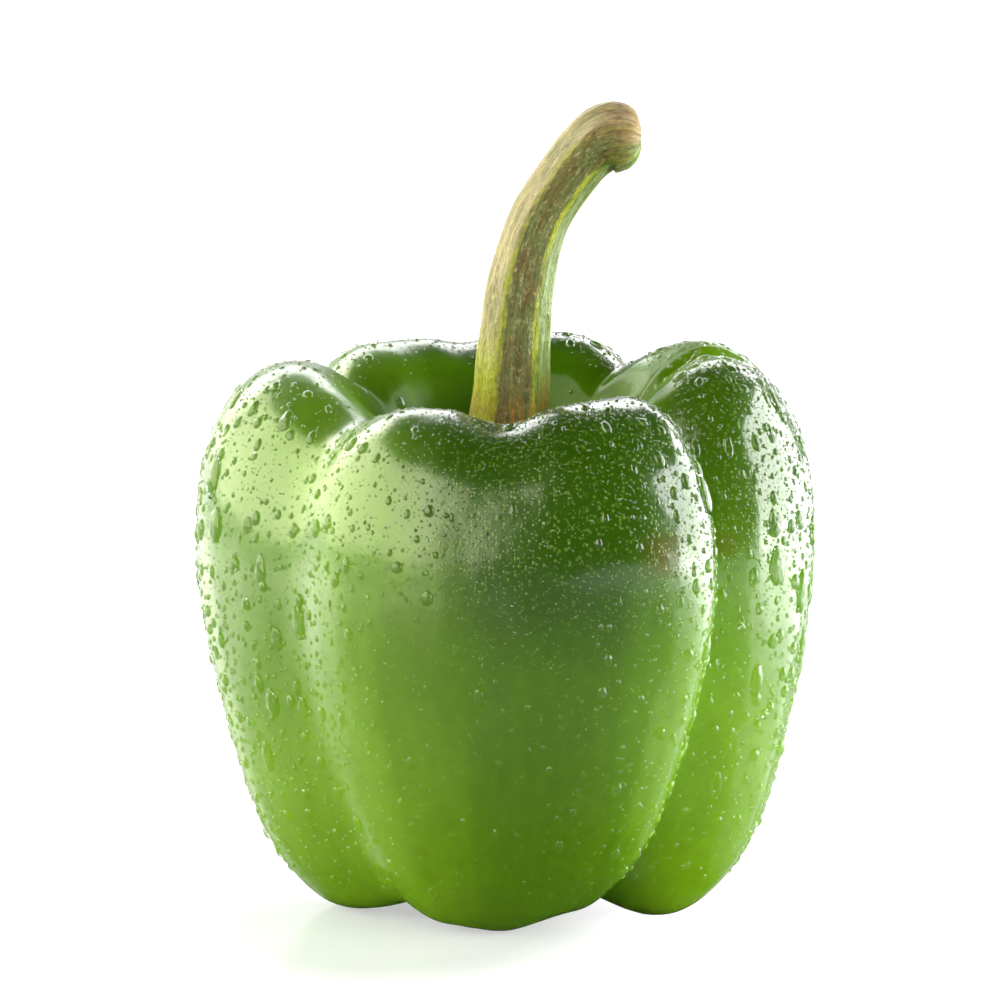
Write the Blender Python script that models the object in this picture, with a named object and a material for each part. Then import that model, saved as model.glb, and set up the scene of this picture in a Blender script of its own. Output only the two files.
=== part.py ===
"""Green bell pepper, standing on the tips of its four lobes.

Run it with: blender --background --python part.py
Units are metres and +Z is up. Three pieces grow out of one another along the fruit's axis:
the lobed fruit, the calyx that sits in the hollow of its shoulders, and the curved, ribbed stem.
Azimuths are in degrees, counted from +X towards +Y, so that the broadest lobe faces -Y.
"""

import math
from typing import NamedTuple

import bmesh
import bpy
from mathutils import Matrix, Vector

# Driving dimensions.
FRUIT_RADIUS = 0.0445
SHOULDER_HEIGHT = 0.0805
JOIN_GAP = 0.0003

# The fruit's mesh.
FRUIT_SEGMENTS = 80
FRUIT_RINGS = 46

# The line that a lobe's crown draws from the calyx, over the shoulder, to the blossom end:
# (share of the fruit's radius, share of the shoulder's height), evenly spaced along the line.
CROWN_LINE = (
    (0.00, 0.800),
    (0.15, 0.800),
    (0.285, 0.806),
    (0.40, 0.875),
    (0.50, 0.960),
    (0.645, 1.000),
    (0.80, 0.972),
    (0.915, 0.895),
    (0.98, 0.795),
    (1.00, 0.690),
    (0.985, 0.570),
    (0.95, 0.450),
    (0.90, 0.325),
    (0.84, 0.205),
    (0.75, 0.095),
    (0.62, 0.016),
    (0.49, -0.005),
    (0.35, 0.025),
    (0.18, 0.075),
    (0.00, 0.090),
)
# The line along the bottom of a furrow of depth 1, between two lobes, at the same stations.
FURROW_LINE = (
    (0.00, 0.800),
    (0.15, 0.800),
    (0.275, 0.806),
    (0.365, 0.850),
    (0.445, 0.895),
    (0.555, 0.912),
    (0.665, 0.880),
    (0.745, 0.815),
    (0.785, 0.735),
    (0.80, 0.650),
    (0.79, 0.545),
    (0.765, 0.435),
    (0.72, 0.320),
    (0.66, 0.215),
    (0.575, 0.120),
    (0.48, 0.060),
    (0.39, 0.045),
    (0.29, 0.052),
    (0.16, 0.080),
    (0.00, 0.090),
)
CREST_SHARE = 5 / 19
WIDEST_SHARE = 9 / 19
TIP_SHARE = 16 / 19
SHOULDER_SPREAD = 4 / 19
TIP_SPREAD = 3 / 19
SWING_SHARE = 12 / 19


class Furrow(NamedTuple):
    """A groove between two lobes.

    It has a depth, and a bank on either side that is so many degrees wide. Towards the blossom end
    it wanders by its swing.
    """

    azimuth: float
    depth: float
    width_before: float
    width_after: float
    swing: float


class Lobe(NamedTuple):
    """A line down a lobe: where its crest is, how far out it reaches, and where its tip is."""

    azimuth: float
    crest_radius: float
    crest_height: float
    reach: float
    tip_radius: float
    tip_height: float


class Pleat(NamedTuple):
    """A shallow fold in a lobe's shoulder: its depth, and its half width in degrees."""

    azimuth: float
    depth: float
    half_width: float


FURROWS = (
    Furrow(-139, 0.56, 34, 22, 0),
    Furrow(-37, 1.00, 16, 28, -12),
    Furrow(49, 0.68, 24, 24, 0),
    Furrow(152, 0.66, 22, 26, 0),
)
FURROW_ROUNDING = 1.5
LOBES = (
    Lobe(-118, 0.0290, 0.0778, 0.0445, 0.0175, 0.0012),
    Lobe(-92, 0.0285, 0.0775, 0.0430, 0.0160, 0.0),
    Lobe(-57, 0.0300, 0.0788, 0.0455, 0.0170, 0.0030),
    Lobe(-14, 0.0305, 0.0815, 0.0458, 0.0230, 0.0),
    Lobe(29, 0.0310, 0.0814, 0.0445, 0.0230, 0.0015),
    Lobe(77, 0.0290, 0.0806, 0.0445, 0.0215, 0.0),
    Lobe(124, 0.0295, 0.0797, 0.0445, 0.0215, 0.0010),
    Lobe(184, 0.0300, 0.0805, 0.0452, 0.0215, 0.0),
)
PLEATS = (
    Pleat(-90, 0.0020, 17),
    Pleat(6, 0.0035, 10),
    Pleat(100, 0.0012, 14),
)
# How far the blossom end lies off the line straight down from the calyx.
LEAN = Vector((0.0, -0.0045))

# The calyx: a thick disc in the hollow, with blunt sepals that climb the hollow's wall.
SEPALS = 6
SEPAL_TURN = 8
CALYX_SEGMENTS = 36
CALYX_RINGS = 14
CALYX_SHARE = 0.105
SEPAL_SHARE = 0.032
CALYX_MIDDLE_THICKNESS = 0.0034
CALYX_RIM_THICKNESS = 0.0013

# The stem: the points its middle passes through, and its radius at each of them.
STEM_SEGMENTS = 30
STEM_RINGS = 32
STEM_RIBS = 6
STEM_RIB_TURN = 33
STEM_RIB_HEIGHT = 0.035
STEM_PATH = (
    (0.0003, 0.0, 0.0685, 0.0064),
    (0.0007, 0.0, 0.0740, 0.0057),
    (0.0012, 0.0, 0.0825, 0.0052),
    (0.0024, 0.0, 0.0925, 0.0048),
    (0.0047, 0.0, 0.1005, 0.0044),
    (0.0082, 0.0, 0.1062, 0.0042),
    (0.0119, 0.0, 0.1108, 0.0044),
    (0.0150, 0.0, 0.1129, 0.0050),
    (0.0200, 0.0, 0.1131, 0.0052),
)
# The line from the middle of the cut end, over its edge and down the side, to the middle of the foot:
# (share of the radius, share of the path), evenly spaced along the line.
STEM_LINE = (
    (0.00, 0.998),
    (0.52, 0.997),
    (0.85, 0.985),
    (0.98, 0.955),
    (1.00, 0.91),
    (1.00, 0.84),
    (1.00, 0.75),
    (1.00, 0.65),
    (1.00, 0.54),
    (1.00, 0.43),
    (1.00, 0.32),
    (1.00, 0.21),
    (1.00, 0.11),
    (1.00, 0.04),
    (0.94, 0.00),
    (0.50, 0.00),
    (0.00, 0.00),
)


def along(line, share):
    """The station at a share of a line of stations, on a Catmull-Rom curve through them."""
    last = len(line) - 1
    index = min(int(share * last), last - 1)
    t = share * last - index
    before, start, end, after = (
        Vector(line[min(max(index + step, 0), last)]) for step in (-1, 0, 1, 2)
    )
    return (
        start
        + (end - before) * (t / 2)
        + (before * 2 - start * 5 + end * 4 - after) * (t**2 / 2)
        + (start * 3 - before - end * 3 + after) * (t**3 / 2)
    )


def smooth(value, low, high):
    """0 up to low and 1 from high, with a smooth climb between them."""
    share = min(max((value - low) / (high - low), 0), 1)
    return share * share * (3 - 2 * share)


def hump(distance, half_width):
    """1 at no distance, falling smoothly to 0 at half_width."""
    return 1 - smooth(abs(distance), 0, half_width)


def turned(azimuth, start):
    """How far azimuth is beyond start, from -180 to 180 degrees."""
    return (azimuth - start + 180) % 360 - 180


def furrow_depth(azimuth, share):
    """How far the skin has sunk from a lobe's crown to the bottom of a furrow."""
    deepest = 0.0
    for furrow in FURROWS:
        swing = furrow.swing * smooth(share, SWING_SHARE, 1)
        away = turned(azimuth, furrow.azimuth + swing)
        width = furrow.width_after if away > 0 else furrow.width_before
        rounded = math.hypot(away, FURROW_ROUNDING) - FURROW_ROUNDING
        deepest = max(deepest, furrow.depth * (1 - min(rounded / width, 1)) ** 2)
    return deepest


def lobe_line(azimuth):
    """The measures of the lobes at this azimuth, passing smoothly from one lobe to the next."""
    for here, following in zip(LOBES, LOBES[1:] + LOBES[:1]):
        passed = (azimuth - here.azimuth) % 360
        apart = (following.azimuth - here.azimuth) % 360
        if passed <= apart:
            mix = smooth(passed, 0, apart)
            return Lobe(*(a + (b - a) * mix for a, b in zip(here, following)))
    return LOBES[0]


def stretch(lobe, share):
    """How much wider than the common line this part of the fruit is."""
    crest = lobe.crest_radius / (along(CROWN_LINE, CREST_SHARE).x * FRUIT_RADIUS)
    widest = lobe.reach / FRUIT_RADIUS
    tip = lobe.tip_radius / (along(CROWN_LINE, TIP_SHARE).x * FRUIT_RADIUS)
    rising = 1 + (crest - 1) * smooth(share, 0, CREST_SHARE)
    widening = rising + (widest - rising) * smooth(share, CREST_SHARE, WIDEST_SHARE)
    return widening + (tip - widening) * smooth(share, WIDEST_SHARE, TIP_SHARE)


def fruit_point(azimuth, share):
    """The fruit's skin at an azimuth, at a share of the way from the calyx to the blossom end."""
    lobe = lobe_line(azimuth)
    sunk = furrow_depth(azimuth, share)
    radius, height = along(CROWN_LINE, share).lerp(along(FURROW_LINE, share), sunk)
    radius *= stretch(lobe, share) * FRUIT_RADIUS
    height *= SHOULDER_HEIGHT
    shoulder = hump(share - CREST_SHARE, SHOULDER_SPREAD)
    height += (lobe.crest_height - SHOULDER_HEIGHT) * shoulder
    height += lobe.tip_height * hump(share - TIP_SHARE, TIP_SPREAD)
    for pleat in PLEATS:
        height -= pleat.depth * hump(turned(azimuth, pleat.azimuth), pleat.half_width) * shoulder
    lean = LEAN * (1 - height / SHOULDER_HEIGHT)
    turn = math.radians(azimuth)
    return Vector(
        (
            radius * math.cos(turn) + lean.x,
            radius * math.sin(turn) + lean.y,
            max(height, 0.0),
        )
    )


def calyx_point(azimuth, share):
    """The calyx, from the middle of its upper face over the rim to the middle of its underside."""
    point = abs(math.cos(math.radians(azimuth - SEPAL_TURN) * SEPALS / 2))
    rim = CALYX_SHARE + SEPAL_SHARE * point**2
    outward = 1 - abs(2 * share - 1)
    under = fruit_point(azimuth, rim * outward) + Vector((0.0, 0.0, JOIN_GAP))
    if share >= 1 / 2:
        return under
    roundness = math.sqrt(1 - outward**4)
    thickness = CALYX_RIM_THICKNESS * roundness
    thickness += (CALYX_MIDDLE_THICKNESS - CALYX_RIM_THICKNESS) * (1 - smooth(outward, 0.4, 1))
    return under + Vector((0.0, 0.0, thickness))


def stem_point(azimuth, share):
    """The stem, from the middle of its cut end, down its side, to the middle of its foot."""
    across, length = along(STEM_LINE, share)
    step = 1e-3
    middle = along(STEM_PATH, length)
    ahead = along(STEM_PATH, min(length + step, 1.0)) - along(STEM_PATH, max(length - step, 0.0))
    onward = ahead.xyz.normalized()
    side = Vector((0.0, -1.0, 0.0)).cross(onward).normalized()
    front = onward.cross(side)
    turn = math.radians(azimuth)
    rib = STEM_RIB_HEIGHT * math.cos((turn - math.radians(STEM_RIB_TURN)) * STEM_RIBS)
    radius = middle.w * across * (1 + rib * across)
    return middle.xyz + (side * math.cos(turn) + front * math.sin(turn)) * radius


def skin(name, colour, roughness):
    """A material named for the piece it covers."""
    made = bpy.data.materials.new(name)
    made.use_nodes = True
    shader = made.node_tree.nodes["Principled BSDF"]
    shader.inputs["Base Color"].default_value = (*colour, 1.0)
    shader.inputs["Roughness"].default_value = roughness
    return made


def grow(node, collection, segments, rings, place, material):
    """A sphere whose every point is moved to place(azimuth, share of the way from pole to pole)."""
    shape = bmesh.new()
    bmesh.ops.create_uvsphere(shape, u_segments=segments, v_segments=rings, radius=1.0)
    for vert in shape.verts:
        azimuth = math.degrees(math.atan2(vert.co.y, vert.co.x))
        share = math.acos(max(-1.0, min(1.0, vert.co.z))) / math.pi
        vert.co = place(azimuth, share)
    mesh = bpy.data.meshes.new(node)
    shape.to_mesh(mesh)
    shape.free()
    mesh.materials.append(material)
    mesh.shade_smooth()
    collection.objects.link(bpy.data.objects.new(node, mesh))


def stand_in_the_middle(pieces, ground):
    """Moves all the pieces so that the ground piece's box is centred on the Z axis."""
    xs, ys = ([vert.co[axis] for vert in ground.data.vertices] for axis in (0, 1))
    centre = Vector(((min(xs) + max(xs)) / 2, (min(ys) + max(ys)) / 2, 0.0))
    for piece in pieces:
        piece.data.transform(Matrix.Translation(-centre))


def main():
    for old in list(bpy.data.objects):
        bpy.data.objects.remove(old)
    pepper = bpy.data.collections.new("bell_pepper")
    bpy.context.scene.collection.children.link(pepper)
    fruit_skin = skin("fruit_skin", (0.07, 0.25, 0.01), 0.25)
    calyx_skin = skin("calyx_skin", (0.16, 0.30, 0.03), 0.5)
    stem_bark = skin("stem_bark", (0.22, 0.22, 0.06), 0.6)
    grow("fruit", pepper, FRUIT_SEGMENTS, FRUIT_RINGS, fruit_point, fruit_skin)
    grow("calyx", pepper, CALYX_SEGMENTS, CALYX_RINGS, calyx_point, calyx_skin)
    grow("stem", pepper, STEM_SEGMENTS, STEM_RINGS, stem_point, stem_bark)
    stand_in_the_middle(pepper.objects, pepper.objects["fruit"])


main()
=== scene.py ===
"""A wet green bell pepper, standing on the tips of its lobes on a white floor.

Metres, +Z up. Azimuths are in degrees, counted from +X towards +Y. The fruit, the calyx and the
stem are grown along their own lines at full detail, and fine water covers the skin.
"""

import math

import bpy
import numpy as np
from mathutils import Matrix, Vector


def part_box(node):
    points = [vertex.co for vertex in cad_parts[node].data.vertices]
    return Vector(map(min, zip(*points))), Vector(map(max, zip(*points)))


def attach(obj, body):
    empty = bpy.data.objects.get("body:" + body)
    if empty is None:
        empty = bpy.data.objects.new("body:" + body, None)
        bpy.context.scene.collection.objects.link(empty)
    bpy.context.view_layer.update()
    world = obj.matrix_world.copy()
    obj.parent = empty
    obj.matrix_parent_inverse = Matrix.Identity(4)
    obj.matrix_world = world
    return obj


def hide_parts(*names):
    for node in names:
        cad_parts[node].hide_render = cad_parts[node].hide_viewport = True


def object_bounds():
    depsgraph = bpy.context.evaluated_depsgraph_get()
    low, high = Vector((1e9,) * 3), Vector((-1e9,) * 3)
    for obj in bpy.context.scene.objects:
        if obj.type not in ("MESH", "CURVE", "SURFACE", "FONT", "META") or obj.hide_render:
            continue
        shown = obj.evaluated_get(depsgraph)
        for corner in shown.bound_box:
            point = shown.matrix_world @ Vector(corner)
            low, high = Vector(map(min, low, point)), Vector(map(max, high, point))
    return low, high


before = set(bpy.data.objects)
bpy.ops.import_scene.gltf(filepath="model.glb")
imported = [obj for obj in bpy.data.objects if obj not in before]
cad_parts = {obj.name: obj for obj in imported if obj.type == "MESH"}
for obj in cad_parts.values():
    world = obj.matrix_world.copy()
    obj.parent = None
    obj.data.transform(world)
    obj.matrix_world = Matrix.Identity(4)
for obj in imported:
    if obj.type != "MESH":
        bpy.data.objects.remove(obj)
CAD_LOW, CAD_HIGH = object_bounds()
FRUIT_LOW, FRUIT_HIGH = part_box("fruit")
STEM_LOW, STEM_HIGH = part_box("stem")

MILLIMETRE = 0.001

# ---------------------------------------------------------------- the fruit's shape

FRUIT_RADIUS = 0.0445
SHOULDER_HEIGHT = 0.0805
JOIN_GAP = 0.0003

# The line that a lobe's crown draws from the calyx, over the shoulder, to the blossom end:
# (share of the fruit's radius, share of the shoulder's height), evenly spaced along the line.
CROWN_LINE = (
    (0.00, 0.800),
    (0.15, 0.800),
    (0.285, 0.806),
    (0.40, 0.875),
    (0.50, 0.960),
    (0.645, 1.000),
    (0.80, 0.972),
    (0.915, 0.895),
    (0.98, 0.795),
    (1.00, 0.690),
    (0.985, 0.570),
    (0.95, 0.450),
    (0.90, 0.325),
    (0.84, 0.205),
    (0.75, 0.095),
    (0.62, 0.016),
    (0.49, -0.005),
    (0.35, 0.025),
    (0.18, 0.075),
    (0.00, 0.090),
)
# The line along the bottom of a furrow of depth 1, between two lobes, at the same stations.
FURROW_LINE = (
    (0.00, 0.800),
    (0.15, 0.800),
    (0.275, 0.806),
    (0.365, 0.850),
    (0.445, 0.895),
    (0.555, 0.912),
    (0.665, 0.880),
    (0.745, 0.815),
    (0.785, 0.735),
    (0.80, 0.650),
    (0.79, 0.545),
    (0.765, 0.435),
    (0.72, 0.320),
    (0.66, 0.215),
    (0.575, 0.120),
    (0.48, 0.060),
    (0.39, 0.045),
    (0.29, 0.052),
    (0.16, 0.080),
    (0.00, 0.090),
)
CREST_SHARE = 5 / 19
WIDEST_SHARE = 9 / 19
TIP_SHARE = 16 / 19
SHOULDER_SPREAD = 4 / 19
TIP_SPREAD = 3 / 19
SWING_SHARE = 12 / 19

# Each furrow between two lobes: azimuth, depth, the width of the bank before it and after it in
# degrees, how far it wanders towards the blossom end, and how widely its bottom is rounded.
FURROWS = (
    (-139, 0.55, 31, 19, 0, 9.0),
    (-37, 1.00, 16, 28, -12, 1.5),
    (49, 0.68, 24, 24, 0, 2.0),
    (152, 0.66, 22, 26, 0, 3.0),
)
# Lines down the lobes: azimuth, the crest's radius and height, the reach, the tip's radius and height.
LOBES = (
    (-118, 0.0290, 0.0778, 0.0445, 0.0175, 0.0012),
    (-92, 0.0285, 0.0775, 0.0430, 0.0160, 0.0),
    (-57, 0.0290, 0.0788, 0.0455, 0.0170, 0.0030),
    (-14, 0.0305, 0.0815, 0.0458, 0.0230, 0.0),
    (29, 0.0310, 0.0814, 0.0445, 0.0230, 0.0015),
    (77, 0.0290, 0.0806, 0.0445, 0.0215, 0.0),
    (124, 0.0295, 0.0797, 0.0445, 0.0215, 0.0010),
    (184, 0.0300, 0.0805, 0.0452, 0.0215, 0.0),
)
# Shallow folds in the shoulders: azimuth, depth and half width in degrees.
PLEATS = (
    (-90, 0.0020, 17),
    (6, 0.0035, 10),
    (100, 0.0012, 14),
)
LEAN = (0.0, -0.0045)
FRUIT_SEGMENTS = 330
FRUIT_RINGS = 290
# The skin stays this far inside the CAD box at the sides and the top, for the drops to stand in.
DROP_ROOM = 0.0003

# ---------------------------------------------------------------- the calyx and the stem

SEPALS = 6
SEPAL_TURN = 8
CALYX_SHARE = 0.105
SEPAL_SHARE = 0.032
CALYX_MIDDLE_THICKNESS = 0.0034
CALYX_RIM_THICKNESS = 0.0013
CALYX_SEGMENTS = 240
CALYX_RINGS = 80

STEM_RIBS = 6
STEM_RIB_TURN = math.radians(35)
# The points the stem's middle passes through, and its radius at each of them.
STEM_PATH = (
    (0.0003, 0.0, 0.0685, 0.0064),
    (0.0007, 0.0, 0.0740, 0.0057),
    (0.0012, 0.0, 0.0825, 0.0052),
    (0.0024, 0.0, 0.0925, 0.0048),
    (0.0047, 0.0, 0.1005, 0.0044),
    (0.0082, 0.0, 0.1062, 0.0042),
    (0.0119, 0.0, 0.1108, 0.0044),
    (0.0150, 0.0, 0.1129, 0.0050),
    (0.0200, 0.0, 0.1131, 0.0052),
)


def along(line, share):
    """The stations at shares of a line of stations, on a Catmull-Rom curve through them."""
    line = np.asarray(line, float)
    last = len(line) - 1
    place = np.clip(share, 0, 1) * last
    index = np.minimum(place.astype(int), last - 1)
    t = (place - index)[..., None]
    before, start, end, after = (
        line[np.clip(index + step, 0, last)] for step in (-1, 0, 1, 2)
    )
    return (
        start
        + (end - before) * t / 2
        + (before * 2 - start * 5 + end * 4 - after) * t**2 / 2
        + (start * 3 - before - end * 3 + after) * t**3 / 2
    )


def smooth(value, low, high):
    """0 up to low and 1 from high, with a smooth climb between them."""
    share = np.clip((value - low) / (high - low), 0, 1)
    return share * share * (3 - 2 * share)


def hump(distance, half_width):
    """1 at no distance, falling smoothly to 0 at half_width."""
    return 1 - smooth(np.abs(distance), 0, half_width)


def turned(azimuth, start):
    """How far azimuth is beyond start, from -180 to 180 degrees."""
    return (azimuth - start + 180) % 360 - 180


def furrow_depth(azimuth, share):
    """How far the skin has sunk from a lobe's crown to the bottom of a furrow."""
    deepest = np.zeros(np.broadcast(azimuth, share).shape)
    for middle, depth, before, after, swing, rounding in FURROWS:
        away = turned(azimuth, middle + swing * smooth(share, SWING_SHARE, 1))
        width = np.where(away > 0, after, before)
        rounded = np.hypot(away, rounding) - rounding
        bank = depth * (1 - np.minimum(rounded / width, 1)) ** 2
        deepest = np.maximum(deepest, bank)
    return deepest


def lobe_line(azimuth):
    """The crest's radius and height, the reach and the tip's radius and height at an azimuth."""
    table = np.array(LOBES)
    passed = (azimuth[..., None] - table[:, 0]) % 360
    here = passed.argmin(-1)
    following = (here + 1) % len(table)
    apart = (table[following, 0] - table[here, 0]) % 360
    mix = smooth(passed.min(-1), 0, apart)[..., None]
    blended = table[here] * (1 - mix) + table[following] * mix
    return np.moveaxis(blended[..., 1:], -1, 0)


def fruit_point(azimuth, share):
    """The fruit's skin at azimuths, at shares of the way from the calyx to the blossom end."""
    crest_radius, crest_height, reach, tip_radius, tip_height = lobe_line(azimuth)
    common_crest = along(CROWN_LINE, np.array(CREST_SHARE))[0] * FRUIT_RADIUS
    common_tip = along(CROWN_LINE, np.array(TIP_SHARE))[0] * FRUIT_RADIUS
    stretch = 1 + (crest_radius / common_crest - 1) * smooth(share, 0, CREST_SHARE)
    stretch += (reach / FRUIT_RADIUS - stretch) * smooth(share, CREST_SHARE, WIDEST_SHARE)
    stretch += (tip_radius / common_tip - stretch) * smooth(share, WIDEST_SHARE, TIP_SHARE)
    sunk = furrow_depth(azimuth, share)[..., None]
    line = along(CROWN_LINE, share) * (1 - sunk) + along(FURROW_LINE, share) * sunk
    radius = line[..., 0] * stretch * FRUIT_RADIUS
    height = line[..., 1] * SHOULDER_HEIGHT
    shoulder = hump(share - CREST_SHARE, SHOULDER_SPREAD)
    height = height + (crest_height - SHOULDER_HEIGHT) * shoulder
    height = height + tip_height * hump(share - TIP_SHARE, TIP_SPREAD)
    for middle, depth, half_width in PLEATS:
        height = height - depth * hump(turned(azimuth, middle), half_width) * shoulder
    lean = 1 - height / SHOULDER_HEIGHT
    turn = np.radians(azimuth)
    x = radius * np.cos(turn) + lean * LEAN[0]
    y = radius * np.sin(turn) + lean * LEAN[1]
    return np.stack(np.broadcast_arrays(x, y, np.maximum(height, 0)), -1)


def calyx_point(azimuth, share):
    """The calyx, from the middle of its upper face over the rim to the middle of its underside."""
    point = np.abs(np.cos(np.radians(azimuth - SEPAL_TURN) * SEPALS / 2))
    rim = CALYX_SHARE + SEPAL_SHARE * point**2
    outward = 1 - np.abs(2 * share - 1)
    under = fruit_point(azimuth + 0 * share, rim * outward)
    under[..., 2] += JOIN_GAP
    thickness = CALYX_RIM_THICKNESS * np.sqrt(1 - outward**4)
    thickness = thickness + (CALYX_MIDDLE_THICKNESS - CALYX_RIM_THICKNESS) * (
        1 - smooth(outward, 0.4, 1)
    )
    under[..., 2] += np.where(share < 1 / 2, thickness, 0)
    return under


def grown_mesh(name, segments, rings, place):
    """A closed mesh: the grid of a sphere, with every point moved to place(azimuth, share)."""
    azimuth = np.arange(segments)[None, :] * 360 / segments
    share = np.arange(1, rings)[:, None] / rings
    body = place(azimuth, share).reshape(-1, 3)
    poles = place(np.zeros((1, 1)), np.array([[0.0], [1.0]])).reshape(-1, 3)
    top = len(body)
    bottom = top + 1
    grid = np.arange(top).reshape(rings - 1, segments)
    onward = np.roll(grid, -1, axis=1)
    quads = np.stack([grid[:-1], grid[1:], onward[1:], onward[:-1]], -1).reshape(-1, 4)
    faces = quads.tolist()
    faces += [(top, a, b) for a, b in zip(grid[0].tolist(), onward[0].tolist())]
    faces += [(bottom, b, a) for a, b in zip(grid[-1].tolist(), onward[-1].tolist())]
    mesh = bpy.data.meshes.new(name)
    mesh.from_pydata(np.concatenate([body, poles]).tolist(), [], faces)
    # Every point keeps its azimuth, as a place on a circle, and its share of the way down.
    straight = np.zeros((bottom + 1, 3))
    turn = np.radians(azimuth + 0 * share)
    straight[:top, 0] = np.cos(turn).ravel()
    straight[:top, 1] = np.sin(turn).ravel()
    straight[:top, 2] = (share + 0 * azimuth).ravel()
    straight[bottom, 2] = 1
    keep_attribute(mesh, "straight", "FLOAT_VECTOR", straight)
    mesh.shade_smooth()
    return mesh


def keep_attribute(mesh, name, kind, values):
    """Stores values on a mesh's points, under a name that materials and node trees read."""
    field = "vector" if kind == "FLOAT_VECTOR" else "value"
    stored = mesh.attributes.new(name, kind, "POINT")
    stored.data.foreach_set(field, np.asarray(values, np.float32).ravel())


def points_of(mesh):
    """The places of a mesh's points."""
    flat = np.empty(len(mesh.vertices) * 3, np.float32)
    mesh.vertices.foreach_get("co", flat)
    return flat.reshape(-1, 3).astype(float)


def move_points(mesh, points):
    """Moves a mesh's points to new places."""
    mesh.vertices.foreach_set("co", points.astype(np.float32).ravel())
    mesh.update()


# ---------------------------------------------------------------- node trees as expressions


class Flow:
    """An output socket of a node tree that takes part in Python expressions."""

    def __init__(self, tree, socket):
        self.tree = tree
        self.socket = socket

    def math(self, operation, *others):
        sockets = dict(enumerate((self, *others)))
        return self.tree.make("ShaderNodeMath", {"operation": operation}, sockets)[0]

    def vector_math(self, operation, *others):
        sockets = dict(enumerate((self, *others)))
        return self.tree.make("ShaderNodeVectorMath", {"operation": operation}, sockets)[0]

    def __add__(self, other):
        return self.math("ADD", other)

    __radd__ = __add__

    def __sub__(self, other):
        return self.math("SUBTRACT", other)

    def __rsub__(self, other):
        return (self * -1) + other

    def __mul__(self, other):
        return self.math("MULTIPLY", other)

    __rmul__ = __mul__

    def __truediv__(self, other):
        return self.math("DIVIDE", other)

    def __pow__(self, other):
        return self.math("POWER", other)

    def climb(self, low, high):
        """0 at low and 1 at high, with a smooth climb between them."""
        settings = {"interpolation_type": "SMOOTHSTEP"}
        sockets = {"Value": self, "From Min": low, "From Max": high}
        return self.tree.make("ShaderNodeMapRange", settings, sockets)["Result"]

    def scaled(self, factor):
        """A vector, longer or shorter by a factor."""
        sockets = {0: self, "Scale": factor}
        return self.tree.make("ShaderNodeVectorMath", {"operation": "SCALE"}, sockets)[0]

    def away_from(self, point):
        """How far a place is from a point."""
        apart = self.vector_math("SUBTRACT", point)
        return self.tree.make("ShaderNodeVectorMath", {"operation": "LENGTH"}, {0: apart})["Value"]

    def parts(self):
        """The node that gives a vector's X, Y and Z."""
        return self.tree.make("ShaderNodeSeparateXYZ", None, {0: self})


class Made:
    """A node that has been made; its outputs are read by name or place."""

    def __init__(self, tree, node):
        self.tree = tree
        self.node = node

    def __getitem__(self, key):
        return Flow(self.tree, self.node.outputs[key])


class Tree:
    """A node tree whose nodes are all made the same way."""

    def __init__(self, tree):
        self.tree = tree

    def make(self, kind, settings=None, sockets=None):
        """A node of a kind, with its settings first and then the values or links of its sockets."""
        node = self.tree.nodes.new(kind)
        for name, value in (settings or {}).items():
            setattr(node, name, value)
        for key, value in (sockets or {}).items():
            self.feed(node.inputs[key], value)
        return Made(self, node)

    def feed(self, socket, value):
        if isinstance(value, Flow):
            self.tree.links.new(value.socket, socket)
        else:
            socket.default_value = value

    def blend(self, share, first, second, kind="MIX"):
        """first turning into second as share goes from 0 to 1; both are colours."""
        settings = {"data_type": "RGBA", "blend_type": kind}
        first, second = (c if isinstance(c, Flow) else (*c, 1.0) for c in (first, second))
        return self.make("ShaderNodeMix", settings, {0: share, 6: first, 7: second})[2]

    def noise(self, where, scale, detail=2.0, roughness=0.5, stretch=(1, 1, 1), seed=0.0):
        """Noise from 0 to 1 around a place that is stretched first."""
        moved = where.vector_math("MULTIPLY", stretch).vector_math("ADD", (seed,) * 3)
        sockets = {"Vector": moved, "Scale": scale, "Detail": detail, "Roughness": roughness}
        return self.make("ShaderNodeTexNoise", None, sockets)[0]

    def kept(self, name, output="Fac"):
        """Values kept on a mesh, read by a material."""
        return self.make("ShaderNodeAttribute", {"attribute_name": name})[output]

    def shaded(self, colour, shade):
        """A colour that is lighter or darker by a factor."""
        grey = self.make("ShaderNodeCombineColor", None, {0: shade, 1: shade, 2: shade})[0]
        return self.blend(1.0, colour, grey, "MULTIPLY")

    def bump(self, height, distance, strength=1.0):
        """The normal of a surface with small heights on it, counted in distances."""
        sockets = {"Strength": strength, "Distance": distance, "Height": height}
        return self.make("ShaderNodeBump", None, sockets)["Normal"]

    def joined(self, x, y, z):
        """A vector of three parts."""
        return self.make("ShaderNodeCombineXYZ", None, {0: x, 1: y, 2: z})[0]

    def read(self, name, kind="FLOAT"):
        """Values kept on the geometry, read by a geometry tree."""
        return self.make("GeometryNodeInputNamedAttribute", {"data_type": kind}, {"Name": name})[0]

    def keep(self, geometry, name, values, kind="FLOAT"):
        """Geometry that keeps values on its points."""
        sockets = {"Geometry": geometry, "Name": name, "Value": values}
        return self.make("GeometryNodeStoreNamedAttribute", {"data_type": kind}, sockets)[0]

    def moved(self, geometry, **where):
        """Geometry whose points have moved, by an Offset or to a Position."""
        return self.make("GeometryNodeSetPosition", None, {"Geometry": geometry, **where})[0]

    def smoothed(self, geometry):
        """Geometry that is shaded smooth."""
        return self.make("GeometryNodeSetShadeSmooth", None, {0: geometry})[0]

    def finish(self, geometry, material):
        """Ends a geometry tree with geometry of one material."""
        sockets = {"Geometry": geometry, "Material": material}
        done = self.make("GeometryNodeSetMaterial", None, sockets)[0]
        self.make("NodeGroupOutput", None, {0: done})


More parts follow.
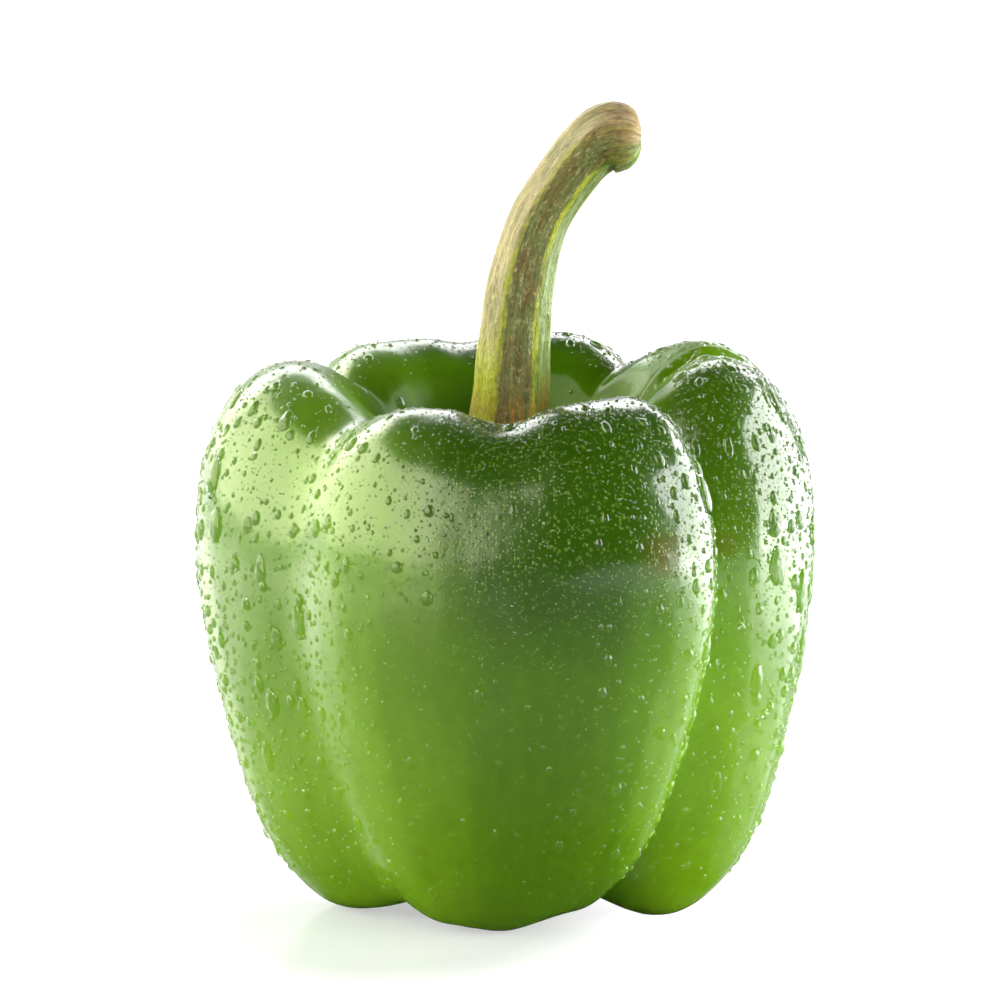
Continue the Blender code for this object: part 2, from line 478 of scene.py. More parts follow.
def new_material(name):
    """A new material, its tree and its Principled shader."""
    made = bpy.data.materials.new(name)
    made.use_nodes = True
    return made, Tree(made.node_tree), made.node_tree.nodes["Principled BSDF"]


def set_sockets(tree, shader, **sockets):
    """Sets or links a shader's sockets, named with _ for a space."""
    for name, value in sockets.items():
        tree.feed(shader.inputs[name.replace("_", " ")], value)


def show_mixed(made, tree, share, shader, other):
    """Shows a material as its shader, turning into the other one as share goes from 0 to 1."""
    sockets = {0: share, 1: Flow(tree, shader.outputs[0]), 2: other[0]}
    mixed = tree.make("ShaderNodeMixShader", None, sockets)
    tree.feed(made.node_tree.nodes["Material Output"].inputs["Surface"], mixed[0])


def grey(level):
    """A colour without any hue."""
    return (level,) * 3


# ---------------------------------------------------------------- materials

DEEP_GREEN = (0.023, 0.076, 0.001)
MID_GREEN = (0.092, 0.225, 0.003)
LEAF_GREEN = (0.166, 0.350, 0.004)
BLUSH = (0.200, 0.060, 0.008)
PAINTED_DEW_LIGHT = (0.170, 0.330, 0.018)
# The blush's spots: place and radius.
BLUSH_SPOTS = (
    ((0.0213, -0.0375, 0.0585), 0.0050),
    ((0.0315, -0.0240, 0.0575), 0.0045),
)
# Painted light: the right lobe's inner face is painted paler than the rest of the shoulders.
PAINTED_LIGHT_SPOT = (0.0240, 0.0040, 0.0790)
# The finest dew is only in the skin's material, in beads this close together.
BEADS_PER_METRE = 2000.0
SKIN_RELIEF = 0.00008


def skin_material():
    """Waxy green skin, faintly streaked, with a blush at one furrow. Painted light makes it paler
    towards the blossom end, at its sides and on the right lobe's inner face, over random patches of
    its own ripening tone; painted shade darkens its upper front and its front middle.
    """
    made, tree, shader = new_material("waxy_skin")
    place = tree.make("ShaderNodeTexCoord")["Object"]
    straight = tree.kept("straight", "Vector")
    furrow = tree.kept("furrow")
    parts = place.parts()
    patches = tree.noise(place, 28, 3, 0.55)
    streaks = tree.noise(straight, 9, 4, 0.6, (1, 1, 0.5), 3.1)
    mottle = tree.noise(place, 420, 3, 0.6)
    # Painted light from below: the skin is painted paler towards the bottom.
    low = parts["Z"].climb(0.062, 0.010)
    far_left = parts["X"].climb(-0.025, -0.034) * parts["Z"].climb(0.015, 0.035)
    # Painted light from the lamps: paler on the right lobe and on the left side, less so on the far
    # left.
    painted_side_light = parts["X"].climb(0.020, 0.028) * parts["X"].climb(0.043, 0.035)
    painted_side_light = painted_side_light + parts["X"].climb(0.008, -0.022) * (1 - far_left * 0.9)
    # Painted shade: the front middle is painted darker.
    painted_shade_centre = parts["X"].climb(-0.014, 0.0) * parts["X"].climb(0.024, 0.014)
    # Its own ripening tone, from random patches and streaks, mixed with the painted light and shade.
    ripe_and_painted_light = low * (1 - painted_shade_centre * 0.75) * 0.7 + painted_side_light * 0.35
    ripe_and_painted_light = (ripe_and_painted_light + (patches - 0.5) * 0.8 + (streaks - 0.5) * 0.3).climb(0, 0.9)
    # Painted shade: the upper front, away from the left, is painted deep green, mixed with random
    # patches of young green; less so in the hollow.
    shaded = parts["Z"].climb(0.036, 0.072) * parts["X"].climb(-0.038, 0.008)
    young_and_painted_shade = (shaded + painted_shade_centre * 0.36 + (patches - 0.5) * 0.6).climb(0.1, 1.0)
    # Painted light: a spot of leaf green on the right lobe's inner face.
    painted_light_spot = place.away_from(PAINTED_LIGHT_SPOT).climb(0.0150, 0.0070)
    inside = tree.kept("inside")
    young_and_painted_shade = young_and_painted_shade * (1 - painted_light_spot) * (1 - inside * 0.6)
    colour = tree.blend(ripe_and_painted_light, MID_GREEN, LEAF_GREEN)
    colour = tree.blend(young_and_painted_shade * 0.88, colour, DEEP_GREEN)
    colour = tree.blend((furrow * 0.25).math("MAXIMUM", painted_light_spot), colour, LEAF_GREEN)
    shade = (streaks - 0.5) * 0.14 + (mottle - 0.5) * 0.3 + 1
    colour = tree.shaded(colour, shade)
    for spot, size in BLUSH_SPOTS:
        mask = (place.away_from(spot) + (mottle - 0.5) * size * 0.6).climb(size, size * 0.15)
        colour = tree.blend(mask * 0.4, colour, BLUSH)
    beading = tree.make("ShaderNodeTexVoronoi", None, {"Vector": place, "Scale": BEADS_PER_METRE})
    sizes = beading["Color"].parts()["X"]
    wet = tree.kept("fine")
    dew = (beading["Distance"] - sizes * wet * 0.62).climb(0.0, -0.20)
    # Painted light: the beads of the finest dew are painted a paler green.
    colour = tree.blend(dew * 0.4, colour, PAINTED_DEW_LIGHT)
    ripple = tree.noise(place, 260, 3, 0.55)
    normal = tree.bump(ripple * 0.9 + dew * 0.25, SKIN_RELIEF)
    rough = mottle * 0.08 + patches * 0.06 + 0.10 + parts["X"].climb(0.010, -0.020) * 0.08
    coat = parts["X"].climb(0.0, 0.018) * 0.26 + 0.05
    set_sockets(tree, shader, Base_Color=colour, Roughness=rough, Normal=normal)
    set_sockets(tree, shader, IOR=1.45, Coat_Roughness=0.05, Coat_Weight=coat)
    # The skin has next to no sheen down in the hollow and under the water's drops.
    under_water = tree.make("ShaderNodeLightPath")["Is Transmission Ray"]
    dull = tree.make("ShaderNodeBsdfDiffuse", None, {"Color": colour, "Normal": normal})
    share = (inside * 0.85).math("MAXIMUM", under_water * 0.75).math("MAXIMUM", painted_light_spot * 0.85)
    show_mixed(made, tree, share, shader, dull)
    return made


STEM_OLIVE = (0.165, 0.185, 0.045)
# The tan is made pale with painted light, as the stem's lit side shows it.
STEM_TAN = (0.730, 0.620, 0.310)
STEM_LIME = (0.450, 0.500, 0.006)
STEM_BROWN = (0.160, 0.092, 0.016)
STEM_GREEN = (0.120, 0.190, 0.008)
STEM_RUST = (0.330, 0.140, 0.008)
STEM_CUT = (0.380, 0.250, 0.090)
BARK_RELIEF = 0.00060


def stem_material():
    """Fibrous stem: a tan facet, painted paler with the light on that side, a dark one and a green
    one, with lime ribs and a dry brown end.
    """
    made, tree, shader = new_material("fibrous_bark")
    straight = tree.kept("straight", "Vector")
    parts = straight.parts()
    turn = parts["Y"].math("ARCTAN2", parts["X"])
    length = parts["Z"]
    grain = tree.noise(straight, 11, 5, 0.75, (1, 1, 5.5))
    fibres = tree.noise(straight, 10, 5, 0.75, (1, 1, 0.5), 1.3)
    patches = tree.noise(straight, 2.4, 4, 0.65, (1, 1, 3.2), 4.7)
    rib = ((turn - STEM_RIB_TURN) * STEM_RIBS).math("COSINE")
    specks = tree.noise(straight, 7, 3, 0.7, (1, 1, 5.0), 9.2)
    uneven = (fibres - 0.5) * 0.5 + (patches - 0.5) * 0.8
    # One side is tan, and painted light on that side makes it paler.
    tan_and_lit_side = (parts["Y"] + uneven * 0.35).climb(-0.30, -0.52)
    green_side = (parts["Y"] + uneven * 0.35).climb(0.45, 0.68)
    stained = (patches + (grain - 0.5) * 0.5).climb(0.50, 0.62)
    colour = tree.blend(stained * 0.75, STEM_OLIVE, STEM_BROWN)
    colour = tree.blend((grain + specks).climb(1.02, 1.30) * 0.4, colour, STEM_TAN)
    worn = (patches * -1 + grain * 0.5).climb(-0.30, -0.16)
    colour = tree.blend(tan_and_lit_side * (1 - stained * 0.3 - worn * 0.6), colour, STEM_TAN)
    colour = tree.blend(green_side * 0.9, colour, STEM_GREEN)
    ridge = (rib + (fibres - 0.5) * 0.5).climb(0.70, 0.95)
    colour = tree.blend(ridge * patches.climb(0.66, 0.40) * 0.75, colour, STEM_LIME)
    foot = (length + (fibres - 0.5) * 0.16).climb(0.36, 0.14)
    colour = tree.blend(foot * (tan_and_lit_side + ridge * 0.2), colour, STEM_LIME)
    rust = (length + (patches - 0.5) * 0.3).climb(0.22, 0.06) * (fibres + grain * 0.3).climb(0.5, 0.8)
    colour = tree.blend(rust * 0.8, colour, STEM_RUST)
    end = (length + (grain - 0.5) * 0.16 + (patches - 0.5) * 0.2).climb(0.88, 0.97)
    under = parts["Y"].climb(-0.2, 0.5)
    callus = tree.blend(under, STEM_CUT, STEM_GREEN)
    colour = tree.blend(end * 0.85, colour, callus)
    rim = length.climb(0.88, 0.94) * length.climb(0.985, 0.95) * (specks + grain).climb(0.95, 1.15)
    colour = tree.blend(rim * 0.8, colour, STEM_BROWN)
    shade = (fibres - 0.5) * 2.2 + (grain - 0.5) * 3.2 + 1.12
    colour = tree.shaded(colour, shade)
    normal = tree.bump(fibres * 0.6 + grain * 0.7, BARK_RELIEF)
    rough = 0.36 + (grain - 0.5) * 0.4
    set_sockets(tree, shader, Base_Color=colour, Roughness=rough, Normal=normal)
    wet = parts["Y"].climb(0.2, 0.6) * grain.climb(0.45, 0.60) * 0.18
    set_sockets(tree, shader, Specular_IOR_Level=0.14, Coat_Weight=wet, Coat_Roughness=0.12)
    return made


CALYX_GREEN = (0.110, 0.230, 0.012)
CALYX_PALE = (0.230, 0.330, 0.040)
CALYX_BROWN = (0.170, 0.060, 0.020)
VEIN_RELIEF = 0.0003


def calyx_material():
    """Calyx: veined green, with its rim and its hidden underside dried brown."""
    made, tree, shader = new_material("veined_calyx")
    straight = tree.kept("straight", "Vector")
    place = tree.make("ShaderNodeTexCoord")["Object"]
    parts = straight.parts()
    veins = tree.noise(straight, 16, 4, 0.6, (1, 1, 0.25))
    mottle = tree.noise(place, 380, 3, 0.6)
    colour = tree.blend(veins.climb(0.35, 0.7), CALYX_GREEN, CALYX_PALE)
    dry = (parts["Z"] + (mottle - 0.5) * 0.12).climb(0.40, 0.49)
    colour = tree.blend(dry * 0.9, colour, CALYX_BROWN)
    normal = tree.bump(veins + mottle * 0.3, VEIN_RELIEF, 0.8)
    rough = 0.35 + mottle * 0.2
    set_sockets(tree, shader, Base_Color=colour, Roughness=rough, Normal=normal)
    return made


def water_material(name, shine):
    """Clear water that lets the lamps' light through to the skin under it."""
    made, tree, shader = new_material(name)
    set_sockets(tree, shader, Base_Color=(1.0, 1.0, 1.0, 1.0), Roughness=0.0, IOR=1.333)
    set_sockets(tree, shader, Transmission_Weight=1.0, Specular_IOR_Level=shine)
    rays = tree.make("ShaderNodeLightPath")
    clear = tree.make("ShaderNodeBsdfTransparent")
    open_to_lamps = rays["Is Shadow Ray"].math("MAXIMUM", rays["Is Diffuse Ray"])
    show_mixed(made, tree, open_to_lamps, shader, clear)
    return made


# The middle of the painted shadow beside the pepper's foot.
SHADED_FLOOR = (-0.018, -0.022, 0.0)


def floor_material():
    """White acrylic that glows towards the viewer, so that it stays white to its far edge, with a
    painted shadow beside the pepper's foot. In the skin's reflections it is darker, and glows in
    painted bands of light.
    """
    made, tree, shader = new_material("floor")
    rays = tree.make("ShaderNodeLightPath")
    place = tree.make("ShaderNodeTexCoord")["Object"]
    parts = place.parts()
    across = parts["X"]
    depth = parts["Y"]
    away = place.away_from((0.0, 0.0, 0.0))
    # Painted reflection: the floor's colour is paler to the eye and darker where the skin mirrors it.
    base = tree.blend(rays["Is Camera Ray"], grey(0.45), grey(0.6))
    base = tree.blend(rays["Is Glossy Ray"], base, grey(0.08))
    back = (depth + across * 0.40).climb(-0.03, 0.04)
    back_left = (depth - across * 0.20).climb(-0.03, 0.06)
    # Painted reflections: how brightly the floor glows where the pepper mirrors it, dark by the foot
    # and in bright bands further out.
    mirrored = tree.blend(away.climb(0.036, 0.075), grey(0.0), grey(0.45))
    mirrored = tree.blend(across.climb(-0.08, -0.40), mirrored, grey(1.0))
    mirrored = tree.blend(across.climb(-0.02, -0.16) * back_left, mirrored, grey(2.2))
    mirrored = tree.blend(across.climb(0.05, 0.30), mirrored, grey(1.6))
    mirrored = tree.blend(across.climb(0.08, 0.28) * back, mirrored, grey(7.0))
    # How bright it is to the eye: less so beside the pepper's foot, a painted shadow.
    near = place.away_from(SHADED_FLOOR)
    shining = tree.blend(near.climb(0.018, 0.041), grey(0.50), grey(1.0))
    seen = rays["Is Camera Ray"].math("MAXIMUM", rays["Is Transmission Ray"])
    glow = tree.blend(seen, grey(0.0), shining)
    glow = tree.blend(rays["Is Glossy Ray"], glow, mirrored)
    set_sockets(tree, shader, Base_Color=base, Roughness=0.12, IOR=1.45)
    set_sockets(tree, shader, Emission_Color=glow, Emission_Strength=1.0)
    return made


# ---------------------------------------------------------------- pieces


def evaluated_copy(name, source, group, values):
    """A plain mesh of what a geometry tree with these inputs makes of a mesh or a curve."""
    holder = bpy.data.objects.new(name + "_holder", source)
    bpy.context.scene.collection.objects.link(holder)
    modifier = holder.modifiers.new("grow", "NODES")
    modifier.node_group = group
    for item in group.interface.items_tree:
        if item.item_type == "SOCKET" and item.in_out == "INPUT" and item.name in values:
            modifier[item.identifier] = values[item.name]
    graph = bpy.context.evaluated_depsgraph_get()
    mesh = bpy.data.meshes.new_from_object(
        holder.evaluated_get(graph), preserve_all_data_layers=True, depsgraph=graph
    )
    bpy.data.objects.remove(holder)
    mesh.name = name
    return mesh


def new_piece(name, mesh):
    """An object for a finished mesh, riding on the pepper."""
    piece = bpy.data.objects.new(name, mesh)
    bpy.context.scene.collection.objects.link(piece)
    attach(piece, "root")
    return piece


def new_group(name, **inputs):
    """An empty geometry tree with inputs of each kind, and the node that gives their values."""
    group = bpy.data.node_groups.new(name, "GeometryNodeTree")
    for kind, labels in inputs.items():
        for label in labels:
            group.interface.new_socket(label, in_out="INPUT", socket_type="NodeSocket" + kind)
    group.interface.new_socket("Geometry", in_out="OUTPUT", socket_type="NodeSocketGeometry")
    tree = Tree(group)
    return group, tree, tree.make("NodeGroupInput")


def skin_group():
    """Gives a skin its slow waves, along its normals."""
    group, tree, given = new_group(
        "skin_waves", Geometry=["Skin"], Float=["Wave", "Ripple"], Material=["Material"]
    )
    place = tree.make("GeometryNodeInputPosition")[0]
    normal = tree.make("GeometryNodeInputNormal")[0]
    wave = tree.noise(place, 60, 2, 0.5, (1, 1, 0.45)) - 0.5
    ripple = tree.noise(place, 190, 2, 0.5, (1, 1, 0.35), 5.3) - 0.5
    out = wave * given["Wave"] + ripple * given["Ripple"]
    waved = tree.moved(given["Skin"], Offset=normal.scaled(out))
    tree.finish(waved, given["Material"])
    return group


# How many curls an uneven drop's outline would have in a metre.
CURLS_PER_METRE = 1100.0


def drops_group():
    """Scatters drops over a skin: they hang down it, crowd where it says and never leave the box."""
    spread = ["Spacing", "Crowding", "Smallest", "Largest", "Rarity"]
    group, tree, given = new_group(
        "water_drops",
        Geometry=["Skin"],
        String=["Where"],
        Float=spread + ["Length", "Thickness", "Taper", "Wobble"],
        Int=["Roundness", "Seed"],
        Vector=["Low", "High"],
        Material=["Material"],
    )
    scatter = tree.make(
        "GeometryNodeDistributePointsOnFaces",
        {"distribute_method": "POISSON"},
        {
            "Mesh": given["Skin"],
            "Distance Min": given["Spacing"],
            "Density Max": given["Crowding"],
            "Density Factor": tree.read(given["Where"]),
            "Seed": given["Seed"],
        },
    )
    upright = tree.make(
        "FunctionNodeAlignRotationToVector", {"axis": "Z"}, {"Vector": scatter["Normal"]}
    )
    hanging = tree.make(
        "FunctionNodeAlignRotationToVector",
        {"axis": "Y", "pivot_axis": "Z"},
        {"Rotation": upright[0], "Vector": (0.0, 0.0, -1.0)},
    )
    ball = tree.make(
        "GeometryNodeMeshUVSphere",
        None,
        {"Segments": given["Roundness"], "Rings": given["Roundness"] * 0.5, "Radius": 1.0},
    )
    spot = tree.make("GeometryNodeInputPosition")[0]
    spot_parts = spot.parts()
    narrow = spot_parts["Y"] * given["Taper"] + 1
    under = spot_parts["Z"].math("MAXIMUM", spot_parts["Z"] * 0.25)
    shaped = tree.joined(spot_parts["X"] * narrow, spot_parts["Y"], under)
    drop = tree.moved(ball[0], Position=shaped)
    chance = tree.make("FunctionNodeRandomValue", {"data_type": "FLOAT"}, {"Seed": given["Seed"]})[1]
    size = chance ** given["Rarity"] * (given["Largest"] - given["Smallest"]) + given["Smallest"]
    longer = tree.make(
        "FunctionNodeRandomValue", {"data_type": "FLOAT"}, {2: 1.0, 3: given["Length"], "Seed": 7}
    )[1]
    scale = tree.joined(size, size * longer, size * given["Thickness"])
    placed = tree.make(
        "GeometryNodeInstanceOnPoints",
        None,
        {"Points": scatter[0], "Instance": drop, "Rotation": hanging[0], "Scale": scale},
    )
    real = tree.make("GeometryNodeRealizeInstances", None, {0: placed[0]})
    where = tree.make("GeometryNodeInputPosition")[0]
    curl = tree.make("ShaderNodeTexNoise", None, {"Vector": where, "Scale": CURLS_PER_METRE})["Color"]
    drift = curl.vector_math("SUBTRACT", (0.5, 0.5, 0.5)).scaled(given["Wobble"])
    held = where.vector_math("ADD", drift)
    held = held.vector_math("MAXIMUM", given["Low"]).vector_math("MINIMUM", given["High"])
    tree.finish(tree.smoothed(tree.moved(real[0], Position=held)), given["Material"])
    return group


def stem_group():
    """Sweeps a ribbed section along the stem's path, and roughens it with fibres."""
    group, tree, given = new_group(
        "ribbed_stem",
        Geometry=["Path"],
        Int=["Ribs", "Segments"],
        Float=["Rib Turn", "Rib Height", "Relief"],
        Material=["Material"],
    )
    circle = tree.make(
        "GeometryNodeCurvePrimitiveCircle", {"mode": "RADIUS"}, {0: given["Segments"], "Radius": 1.0}
    )
    spot = tree.make("GeometryNodeInputPosition")[0]
    parts = spot.parts()
    turn = parts["Y"].math("ARCTAN2", parts["X"])
    rib = ((turn - given["Rib Turn"]) * given["Ribs"]).math("COSINE") * given["Rib Height"] + 1
    marked = tree.keep(circle[0], "section", spot, "FLOAT_VECTOR")
    section = tree.moved(marked, Position=spot.scaled(rib))
    factor = tree.make("GeometryNodeSplineParameter")["Factor"]
    measured = tree.keep(given["Path"], "length", factor)
    swept = tree.make(
        "GeometryNodeCurveToMesh",
        None,
        {
            "Curve": measured,
            "Profile Curve": section,
            "Scale": tree.make("GeometryNodeInputRadius")[0],
            "Fill Caps": True,
        },
    )
    around = tree.read("section", "FLOAT_VECTOR")
    length = tree.read("length")
    around_parts = around.parts()
    straight = tree.joined(around_parts["X"], around_parts["Y"], length)
    stored = tree.keep(swept[0], "straight", straight, "FLOAT_VECTOR")
    normal = tree.make("GeometryNodeInputNormal")[0]
    knots = tree.noise(straight, 2.6, 3, 0.6, (1, 1, 3.0), 2.0) - 0.5
    fibres = tree.noise(straight, 11, 4, 0.65, (1, 1, 0.5), 6.0) - 0.5
    worn_end = length.climb(0.80, 0.94) * 1.6 + 1
    rise = (knots * 1.4 * worn_end + fibres * 0.9) * given["Relief"]
    rough = tree.moved(stored, Offset=normal.scaled(rise))
    tree.finish(tree.smoothed(rough), given["Material"])
    return group


STEM_STATIONS = 260
STEM_SEGMENTS = 120
# The share of the stem's length over which its cut end's edge is rounded.
STEM_END_ROUNDING = 0.11
STEM_RIB_HEIGHT = 0.045
STEM_RELIEF = 0.0004
SKIN_WAVE = 0.0009
SKIN_RIPPLE = 0.00022


def stem_path(shift):
    """The stem's path as a curve, with its radius drawn in towards the cut end's rounded edge."""
    share = np.linspace(0, 1, STEM_STATIONS)
    # The stations are a little closer together near the cut end.
    share = share + 0.012 * np.sin(math.pi * share)
    stations = along(STEM_PATH, np.clip(share, 0, 1))
    rounding = np.clip((share - (1 - STEM_END_ROUNDING)) / STEM_END_ROUNDING, 0, 1)
    radius = stations[:, 3] * np.sqrt(1 - 0.95 * rounding**2.1)
    curve = bpy.data.curves.new("stem_path", "CURVE")
    curve.dimensions = "3D"
    curve.twist_mode = "MINIMUM"
    spline = curve.splines.new("POLY")
    spline.points.add(STEM_STATIONS - 1)
    places = np.concatenate([stations[:, :3] + shift, np.ones((STEM_STATIONS, 1))], 1)
    spline.points.foreach_set("co", places.ravel())
    spline.points.foreach_set("radius", radius)
    return curve


def fit_to(mesh, low, high, room):
    """Fits a mesh to a box, less some room at the sides and the top; returns its middle's shift."""
    points = points_of(mesh)
    lowest = points.min(0)
    highest = points.max(0)
    low = np.array(low) + (room, room, 0)
    high = np.array(high) - room
    move_points(mesh, (points - lowest) / (highest - lowest) * (high - low) + low)
    return (low + high) / 2 - (lowest + highest) / 2


def wetness(points, furrow):
    """How thickly each kind of drop covers the skin, and what is inside the hollow, from 0 to 1."""
    # Heights and distances are in millimetres here.
    x, y, z = (points / MILLIMETRE).T
    off_floor = smooth(z, 4, 8)
    high = smooth(z, 30, 62)
    side = smooth(np.abs(x), 24, 36)
    flank = smooth(np.abs(x), 8, 24)
    inside = smooth(-np.hypot(x, y + 1), -28, -24) * smooth(z, 40, 60)
    dry = 1 - 0.88 * inside
    fine = off_floor * dry * (0.22 + 0.78 * high) * (1 - 0.45 * side * (1 - high))
    fine = fine * (1 - 0.6 * smooth(-x, 2, 20))
    beads = off_floor * dry * (0.12 + 0.88 * flank) * (1 - 0.4 * smooth(-x, 8, 24) * high)
    low = off_floor * smooth(-z, -55, -35) * (0.35 + 0.65 * flank)
    runs = off_floor * dry * side * smooth(-y, -25, 5) * smooth(z, 12, 30)
    return {"fine": fine, "beads": beads, "low": low, "runs": runs, "inside": inside}


# ---------------------------------------------------------------- building it

skin = skin_material()
bark = stem_material()
sepals = calyx_material()
water = water_material("water", 0.3)
dew_water = water_material("dew", 0.10)

bare = grown_mesh("fruit_bare", FRUIT_SEGMENTS, FRUIT_RINGS, fruit_point)
shift = fit_to(bare, FRUIT_LOW, FRUIT_HIGH, DROP_ROOM)
shift[2] = 0
straight = np.empty(len(bare.vertices) * 3, np.float32)
bare.attributes["straight"].data.foreach_get("vector", straight)
straight = straight.reshape(-1, 3)
azimuths = np.degrees(np.arctan2(straight[:, 1], straight[:, 0]))
furrow = furrow_depth(azimuths, straight[:, 2])
keep_attribute(bare, "furrow", "FLOAT", furrow)

skin_values = {"Wave": SKIN_WAVE, "Ripple": SKIN_RIPPLE, "Material": skin}
fruit_mesh = evaluated_copy("fruit_skin", bare, skin_group(), skin_values)
fit_to(fruit_mesh, FRUIT_LOW, FRUIT_HIGH, DROP_ROOM)
for name, values in wetness(points_of(fruit_mesh), furrow).items():
    keep_attribute(fruit_mesh, name, "FLOAT", values)
fruit = new_piece("pepper_fruit", fruit_mesh)
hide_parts("fruit")

calyx_mesh = grown_mesh("calyx_skin", CALYX_SEGMENTS, CALYX_RINGS, calyx_point)
fit_to(calyx_mesh, *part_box("calyx"), 0)
calyx_mesh.materials.append(sepals)
calyx = new_piece("pepper_calyx", calyx_mesh)
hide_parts("calyx")

stem_values = {
    "Ribs": STEM_RIBS,
    "Rib Turn": STEM_RIB_TURN,
    "Rib Height": STEM_RIB_HEIGHT,
    "Segments": STEM_SEGMENTS,
    "Relief": STEM_RELIEF,
    "Material": bark,
}
stem_mesh = evaluated_copy("stem_bark", stem_path(shift), stem_group(), stem_values)
fit_to(stem_mesh, STEM_LOW, STEM_HIGH, 0)
stem = new_piece("pepper_stem", stem_mesh)
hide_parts("stem")

drops = drops_group()
DEW = ("fine", 0.00075, 9.0e5, 0.00009, 0.00018, 1.5, 1.2, 0.85, 0.0, 0.0, 6)
# Every kind of drop, with a value for each of the inputs below.
DROP_KINDS = (
    ("dew_a", *DEW, 3),
    ("dew_b", *DEW, 4),
    ("dew_c", *DEW, 5),
    ("mist", "fine", 0.00115, 6.0e5, 0.00015, 0.00030, 2.0, 1.3, 0.85, 0.0, 0.0, 8, 11),
    ("beads_a", "beads", 0.00180, 3.0e5, 0.00024, 0.00046, 1.2, 1.4, 0.75, 0.08, 0.00004, 10, 21),
    ("beads_b", "beads", 0.00260, 2.2e5, 0.00034, 0.00092, 1.9, 1.8, 0.62, 0.14, 0.00012, 12, 22),
    ("beads_c", "low", 0.00170, 3.0e5, 0.00020, 0.00040, 1.2, 1.5, 0.70, 0.08, 0.00006, 9, 23),
    ("runs", "runs", 0.00560, 6.0e4, 0.00060, 0.00150, 1.6, 2.6, 0.50, 0.30, 0.00070, 20, 33),
)
# Where it sits, how far apart and how many to a square metre, its radii, how rare the large
# ones are, how long, thick, pointed and uneven it is, its sides, and the seed of its places.
DROP_INPUTS = (
    "Where",
    "Spacing",
    "Crowding",
    "Smallest",
    "Largest",
    "Rarity",
    "Length",
    "Thickness",
    "Taper",
    "Wobble",
    "Roundness",
    "Seed",
)
box_low = tuple(CAD_LOW)
box_high = tuple(CAD_HIGH)
for name, *values in DROP_KINDS:
    settings = dict(zip(DROP_INPUTS, values))
    settings |= {"Low": box_low, "High": box_high}
    settings["Material"] = dew_water if settings["Where"] == "fine" else water
    mesh = evaluated_copy("water_" + name, fruit_mesh, drops, settings)
    new_piece("water_" + name, mesh)

# ---------------------------------------------------------------- floor, light and camera


def area_light(name, place, aim, size, radiance, only, tint):
    """A rectangular soft lamp aimed at a point, for the sheen only or for the diffuse light only."""
    light = bpy.data.lights.new(name, "AREA")
    light.shape = "RECTANGLE"
    light.size, light.size_y = size
    light.energy = radiance * math.pi * size[0] * size[1]
    light.color = tint
    lamp = bpy.data.objects.new(name, light)
    bpy.context.scene.collection.objects.link(lamp)
    lamp.location = place
    lamp.rotation_mode = "QUATERNION"
    lamp.rotation_quaternion = (Vector(aim) - Vector(place)).to_track_quat("-Z", "Y")
    lamp.visible_camera = False
    lamp.visible_diffuse = only == "diffuse"
    lamp.visible_glossy = only == "glossy"
    lamp.visible_transmission = False


FLOOR_HALF = 3.0
floor_mesh = bpy.data.meshes.new("floor")
corners = [(-FLOOR_HALF, -FLOOR_HALF, 0), (FLOOR_HALF, -FLOOR_HALF, 0)]
corners += [(FLOOR_HALF, FLOOR_HALF, 0), (-FLOOR_HALF, FLOOR_HALF, 0)]
floor_mesh.from_pydata(corners, [], [(0, 1, 2, 3)])
floor_mesh.materials.append(floor_material())
floor = bpy.data.objects.new("floor", floor_mesh)
bpy.context.scene.collection.objects.link(floor)

FRUIT_MIDDLE = (0.0, 0.0, 0.045)
WARM = (1.0, 0.96, 0.70)
WHITE = grey(1.0)


def sheen_panel(name, azimuth, distance, width, low, high, radiance, tint):
    """An upright panel that only shows as a sheen; its azimuth is counted from the viewer's side."""
    turn = math.radians(azimuth)
    x = math.sin(turn) * distance
    y = -math.cos(turn) * distance
    z = (low + high) / 2
    area_light(name, (x, y, z), (0.0, 0.0, z), (width, high - low), radiance, "glossy", tint)


# The upright panels: azimuth, distance, width, lower and upper edge, radiance and tint.
SHEEN_PANELS = (
    ("left_sheen", -63, 0.905, 2.38, 0.07, 1.65, 10.0, WARM),
    ("front_sheen", -8, 0.95, 0.07, 0.10, 1.40, 4.0, WARM),
    ("left_back_sheen", -133, 0.93, 0.56, 0.07, 1.20, 6.6, WARM),
    ("right_sheen", 98, 0.796, 1.10, 0.0, 0.80, 12.5, WHITE),
    ("right_low_sheen", 65, 0.80, 0.22, 0.0, 0.12, 4.0, WHITE),
)
for panel in SHEEN_PANELS:
    sheen_panel(*panel)
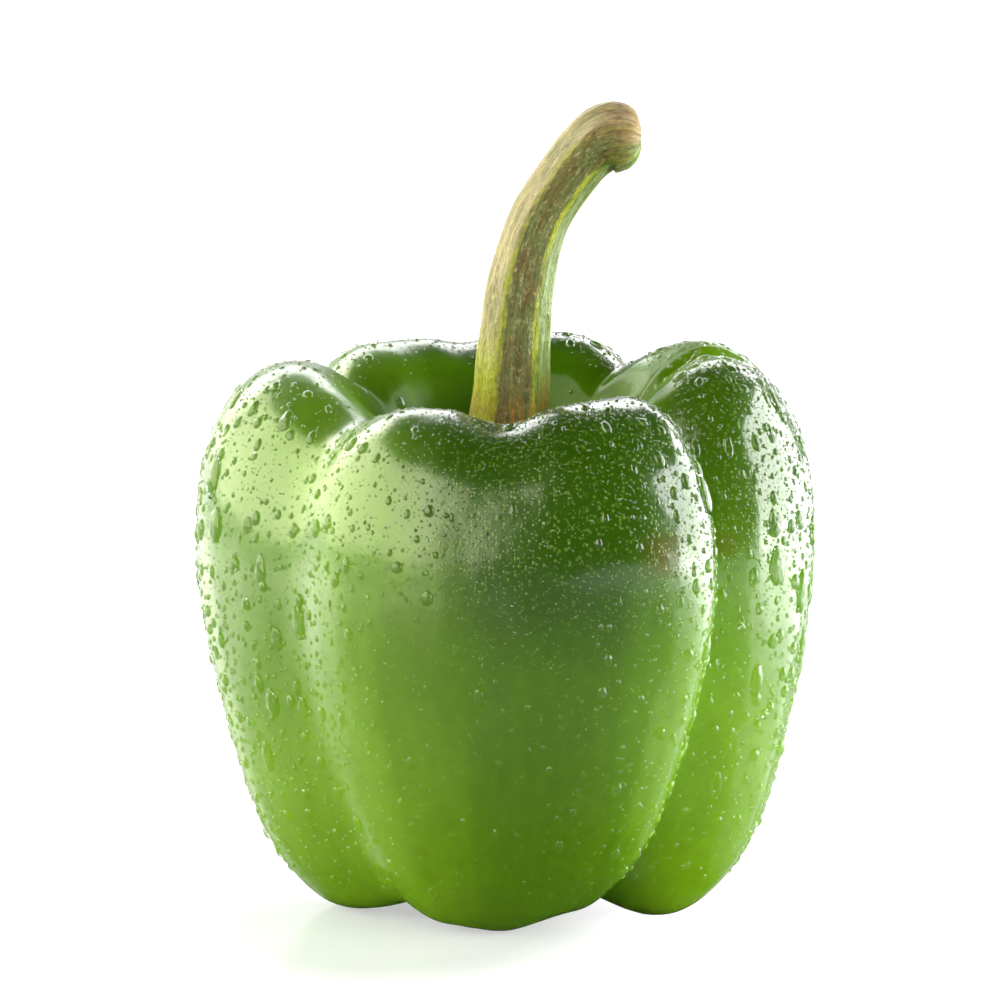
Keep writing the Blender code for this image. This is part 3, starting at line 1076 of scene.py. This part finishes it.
# The lamps aimed at the fruit's middle: place, width and height, radiance, and what they light.
LAMPS = (
    ("rim_strip", (-0.05, 0.80, 0.58), (1.5, 0.40), 7.0, "glossy"),
    ("left_softbox", (-0.96, -0.20, 0.33), (0.9, 0.65), 5.6, "diffuse"),
    ("right_panel", (0.91, -0.20, 0.14), (0.8, 0.5), 12.8, "diffuse"),
)
for name, place, size, radiance, only in LAMPS:
    area_light(name, place, FRUIT_MIDDLE, size, radiance, only, WHITE)

world = bpy.data.worlds.new("studio")
world.use_nodes = True
world_tree = Tree(world.node_tree)
direction = world_tree.make("ShaderNodeTexCoord")["Generated"]
direction_parts = direction.parts()
rays = world_tree.make("ShaderNodeLightPath")
# The sky is bright only behind the pepper: its sheen most of all low down, its diffuse light evenly.
behind = direction_parts["Y"].climb(0.2, 0.6) * direction_parts["Z"].climb(0.82, 0.70)
level = direction_parts["Z"].climb(0.46, 0.26) * 0.5 + direction_parts["Z"].climb(0.22, 0.05) * 0.4
sheen = behind * (level + 0.22) + 0.02
spread = behind * 0.8 + 0.15
brightness = sheen + rays["Is Diffuse Ray"] * (spread - sheen)
# To the eye it is plain white, and nearly so through the drops.
brightness = brightness.math("MAXIMUM", rays["Is Camera Ray"] * 1.05)
brightness = brightness.math("MAXIMUM", rays["Is Transmission Ray"] * 0.9)
world_tree.feed(world.node_tree.nodes["Background"].inputs["Strength"], brightness)
world_tree.feed(world.node_tree.nodes["Background"].inputs["Color"], (1.0, 1.0, 1.0, 1.0))
bpy.context.scene.world = world

VIEW_ELEVATION = math.radians(10)
VIEW_DISTANCE = 0.80
VIEW_WIDTH = 0.1464
VIEW_AIM = Vector((-0.0007, 0.0, 0.0596))
SENSOR = 36.0
camera = bpy.data.cameras.new("camera")
camera.sensor_width = SENSOR
camera.lens = SENSOR * VIEW_DISTANCE / VIEW_WIDTH
viewer = bpy.data.objects.new("camera", camera)
bpy.context.scene.collection.objects.link(viewer)
backward = Vector((0.0, -math.cos(VIEW_ELEVATION), math.sin(VIEW_ELEVATION)))
viewer.location = VIEW_AIM + backward * VIEW_DISTANCE
viewer.rotation_mode = "QUATERNION"
viewer.rotation_quaternion = (-backward).to_track_quat("-Z", "Y")
bpy.context.scene.camera = viewer
bpy.context.scene.view_settings.view_transform = "Standard"
